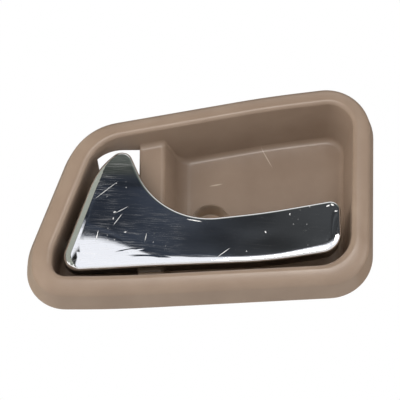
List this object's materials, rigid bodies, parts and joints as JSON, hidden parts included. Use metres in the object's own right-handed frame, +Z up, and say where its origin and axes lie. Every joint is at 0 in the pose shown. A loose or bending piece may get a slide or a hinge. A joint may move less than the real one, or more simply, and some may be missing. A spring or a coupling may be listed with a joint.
{
  "type": "interior car door handle",
  "caption": "Interior door release handle: moulded bolster bezel with finger cup and a sprung, chromed fin-shaped pull lever on a vertical hinge pin.",
  "frame": {"origin": "centre of the opening in the door trim, in the plane of the trim surface that the rim's back edge lies on", "axes": "+X towards the lever's free end, +Z up, +Y into the door; the cabin is on the -Y side"},
  "size_m": [0.1573, 0.045, 0.1055],
  "materials": {
    "bezel_plastic": "fine-grained satin moulding",
    "chrome": "bright decorative chrome with fine scratches",
    "black_nylon": "glass-filled, dull",
    "natural_nylon": "smooth, slightly waxy",
    "black_rubber": "dull",
    "plated_steel": "zinc plated",
    "spring_steel": "oiled dark spring steel",
    "foam": "closed-cell foam"
  },
  "bodies": {
    "housing": {"bezel_housing": "bezel_plastic", "pivot_pin": "plated_steel", "pin_retainer": "spring_steel", "return_spring": "spring_steel", "rest_bumper": "black_rubber", "stop_bumper": "black_rubber", "screw_sleeve": "plated_steel", "trim_clip_1": "spring_steel", "trim_clip_2": "spring_steel", "trim_clip_3": "spring_steel", "trim_clip_4": "spring_steel", "foam_pad_1": "foam", "foam_pad_2": "foam"},
    "lever": {"lever_cover": "chrome", "lever_carrier": "black_nylon", "upper_bush": "natural_nylon", "lower_bush": "natural_nylon", "cover_screw_1": "plated_steel", "cover_screw_2": "plated_steel", "cover_screw_3": "plated_steel"},
    "swivel_clip": {"rod_clip": "natural_nylon"}
  },
  "joints": [
    {"name": "lever_pull", "type": "hinge", "parent": "housing", "child": "lever", "pos_m": [-0.04, -0.003, 0], "axis": [0, 0, -1], "range_deg": [0, 32], "stiffness_Nm_per_rad": 0.25, "springref_deg": -28.65, "deforming": ["return_spring"]},
    {"name": "clip_swivel", "type": "hinge", "parent": "lever", "child": "swivel_clip", "pos_m": [-0.054, 0.019, -0.018], "axis": [0, 0, 1], "range_deg": [-40, 20]}
  ]
}
